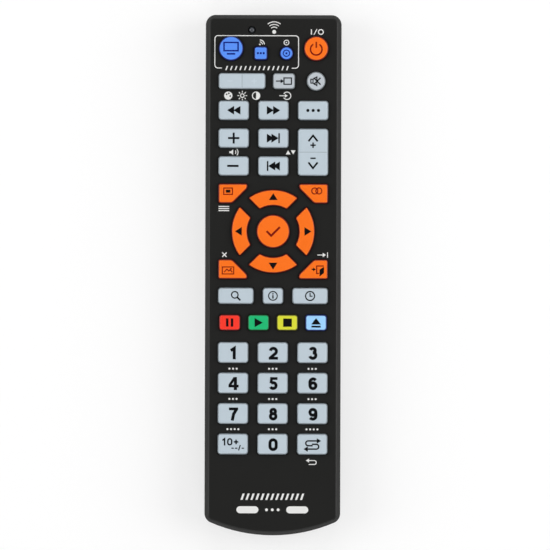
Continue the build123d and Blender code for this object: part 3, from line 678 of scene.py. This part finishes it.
pick("edges", lambda edge: min(vert.co.z for vert in edge.verts) > high.z - LAP * MM)
bpy.ops.mesh.bevel(offset=DOME * radius, segments=DOME_STEPS, affect="EDGES")
bpy.ops.object.mode_set(mode="OBJECT")
bpy.ops.object.shade_smooth_by_angle(angle=math.radians(SMOOTH_TO))
lamp.data.materials.append(milky)
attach(lamp, "case")
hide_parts("indicator_led")

# Inner electronics: a grey silicone sheet on a green epoxy board, and the parts
# soldered under it. They show only through the key gaps: a matt sheet, a board with
# the even gloss of its lacquer, dull black resin, bright cans and clear dark lenses.
sheet, shader, place = surface("silicone rubber sheet, grey", "8d8f91", 0.6, ior=1.41)
grain(sheet, shader, place, size=0.8, depth=0.004)
finish(sheet, "keypad_mat")
board, shader, place = surface("epoxy board with green mask", "0f5a2c", 0.35)
mottle(board, shader, place, size=6, low=0.3, high=0.42)
finish(board, "circuit_board")
resin, shader, place = surface("moulded epoxy, black", "161616", 0.55)
grain(resin, shader, place, size=0.3, depth=0.004)
finish(resin, "control_chip")
steel_can, shader, place = surface("drawn steel can", "b8b8b4", 0.3, metallic=1.0)
mottle(steel_can, shader, place, size=3, low=0.25, high=0.38)
finish(steel_can, "crystal")
aluminium, shader, place = surface("aluminium can", "c8c8c8", 0.28, metallic=1.0)
mottle(aluminium, shader, place, size=3, low=0.22, high=0.34)
finish(aluminium, "capacitor")
lens, shader, place = surface("tinted epoxy lens", "140c1c", 0.12, ior=1.55)
mottle(lens, shader, place, size=2, low=0.08, high=0.16)
finish(lens, "ir_emitter", "learning_sensor")

# Battery bay and screws: two cells in plain printed sleeves that lie head to tail,
# nickel-plated spring contacts, and zinc-plated screws in their deep holes.
CELL_BAND = 9.0
CELL_END = 0.8
FILM, COPPER, STEEL = "2e3338", "a86a34", "c0c0bc"


def calc(mat, operation, *values):
    """The result of a calculation on outputs and numbers."""
    inputs = dict(enumerate(values))
    return add(mat, "ShaderNodeMath", inputs, operation=operation).outputs[0]


# Film shrunk on steel: a dark sleeve with a copper band at the plus end, bare steel at the tips.
low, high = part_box("aaa_cells")
middle = (low + high) / 2
half = (high.y - low.y) / 2
sleeve, shader, place = surface("shrunk film on a steel cell", FILM, 0.3)
mottle(sleeve, shader, place, size=6, low=0.25, high=0.36)
parts = add(sleeve, "ShaderNodeSeparateXYZ", {"Vector": place}).outputs
side = calc(sleeve, "SIGN", parts["X"])
run = calc(sleeve, "SUBTRACT", middle.y, parts["Y"])
run = calc(sleeve, "MULTIPLY", run, side)
band = calc(sleeve, "GREATER_THAN", run, half - CELL_BAND * MM)
bare = calc(sleeve, "GREATER_THAN", calc(sleeve, "ABSOLUTE", run), half - CELL_END * MM)
film = blend(sleeve, band, FILM, COPPER)
link(blend(sleeve, bare, film, STEEL), shader.inputs["Base Color"])
link(bare, shader.inputs["Metallic"])
finish(sleeve, "aaa_cells")

# Plated steel: a dull, faintly clouded shine on the screws, a brighter one on the springs.
zinc, shader, place = surface("zinc-plated steel", "a8aaae", 0.35, metallic=1.0)
mottle(zinc, shader, place, size=1.5, low=0.28, high=0.42)
finish(zinc, "case_screws")
nickel, shader, place = surface("nickel-plated spring steel", "c2c0b8", 0.25, metallic=1.0)
mottle(nickel, shader, place, size=2, low=0.2, high=0.32)
finish(nickel, "bridge_contact", "positive_contact", "negative_contact")

# Studio: a white card table seen straight from above with a long lens, lit softly
# from both long sides, so that the black face stays dark.

# The camera's values and the table's height in millimetres, the roll in degrees.
SHOT_WIDTH = 227.4
CAMERA_HEIGHT = 2000.0
CENTRE = (0.83, 0.08)
ROLL = 0.17
TABLE_Z = -0.05
# In metres: the table, and the soft panels of light at their height over it.
TABLE_SIZE = 3
LIGHT_SIZE = 1.0
LIGHT_Z = 0.8
# How much of the table's white is its own glow, how high up the sky the white walls
# reach, and the strength of the room's even light.
WHITE_SHARE = 0.6
WALL_TOP = 0.5
ROOM_LIGHT = 0.15


def seen_as_background(mat):
    """1 for a ray that shows the studio or its reflection, 0 for one that carries its light."""
    rays = add(mat, "ShaderNodeLightPath").outputs
    seen = calc(mat, "MAXIMUM", rays["Is Camera Ray"], rays["Is Glossy Ray"])
    return calc(mat, "MAXIMUM", seen, rays["Is Transmission Ray"])


# White card: dull and even, and part of its white is a glow, so that it stays white
# round the object while a soft shadow still shows.
bpy.ops.mesh.primitive_plane_add(size=TABLE_SIZE, location=(0, 0, TABLE_Z * MM))
table = bpy.context.object
table.name = "table"
paper, shader, place = surface("white card", "fdfdfd", 0.9)
mottle(paper, shader, place, size=20, low=0.85, high=0.95)
share = calc(paper, "MULTIPLY", seen_as_background(paper), WHITE_SHARE)
glow = add(paper, "ShaderNodeEmission", {"Strength": 1.0})
skins = {0: share, 1: shader.outputs[0], 2: glow.outputs[0]}
card = add(paper, "ShaderNodeMixShader", skins)
link(card.outputs[0], paper.node_tree.nodes["Material Output"].inputs["Surface"])
table.data.materials.append(paper)

spot = (CENTRE[0] * MM, CENTRE[1] * MM, FACE_Z + CAMERA_HEIGHT * MM)
bpy.ops.object.camera_add(location=spot, rotation=(0, 0, math.radians(ROLL)))
scene.camera = bpy.context.object
scene.camera.data.angle = 2 * math.atan(SHOT_WIDTH / 2 / CAMERA_HEIGHT)

for x, y, watts in ((1, 0.1, 10.6), (-1, 0.1, 9.1), (0, 1.1, 4.6), (0, -1.1, 4.6)):
    bpy.ops.object.light_add(type="AREA", location=(x, y, LIGHT_Z))
    light = bpy.context.object
    light.data.size = LIGHT_SIZE
    light.data.energy = watts
    light.rotation_euler = (-light.location).to_track_quat("-Z", "Y").to_euler()

# The room: white walls round the table, which show only as background, and a dim even light.
world = bpy.data.worlds.new("studio")
world.use_nodes = True
scene.world = world
way = add(world, "ShaderNodeTexCoord").outputs["Generated"]
wall = ramp(world, height_of(world, way), WALL_TOP, WALL_TOP / 2)
wall = calc(world, "MULTIPLY", wall, seen_as_background(world))
room = world.node_tree.nodes["Background"]
room.inputs["Color"].default_value = (1, 1, 1, 1)
link(ramp(world, wall, low=ROOM_LIGHT), room.inputs["Strength"])
scene.view_settings.view_transform = "Standard"
